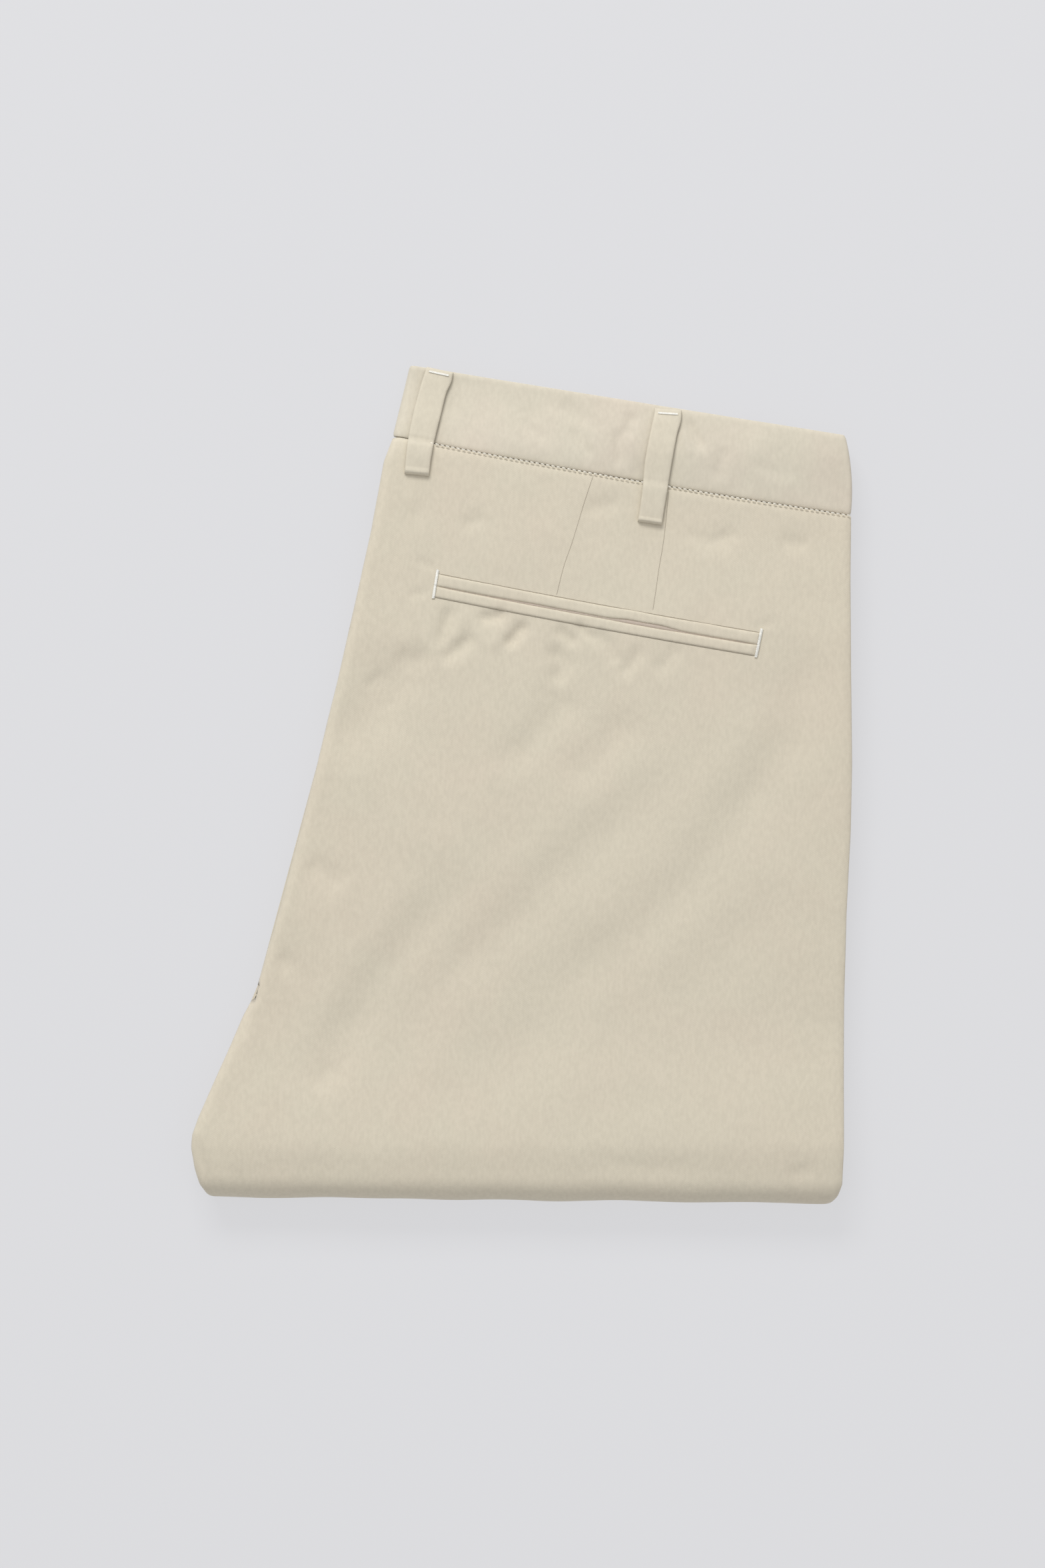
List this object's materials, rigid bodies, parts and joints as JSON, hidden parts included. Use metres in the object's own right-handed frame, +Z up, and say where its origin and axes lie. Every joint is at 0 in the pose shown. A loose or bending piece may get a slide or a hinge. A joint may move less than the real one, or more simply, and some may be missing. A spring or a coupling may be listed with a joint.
{
  "type": "folded chino trousers",
  "caption": "Chino trousers in stone cotton twill, folded flat in thirds with the seat, jetted back pocket, darts, waistband and belt loops on top.",
  "frame": {"origin": "middle of the pack's underside, on the surface that it lies on", "axes": "+X from the seat seam to the side seams, +Y to the waist, +Z up"},
  "size_m": [0.3065, 0.3908, 0.021],
  "materials": {
    "twill": "stone cotton twill, soft satin, matt",
    "facing": "pocket facing in plain cotton"
  },
  "bodies": {
    "root": {"back_right": "twill", "back_left": "twill", "front_right": "twill", "front_left": "twill", "folded_legs": "twill", "waistband": "twill", "belt_loop_back": "twill", "belt_loop_side": "twill", "pocket_jet_upper": "twill", "pocket_jet_lower": "twill", "pocket_facing": "facing"}
  },
  "joints": []
}
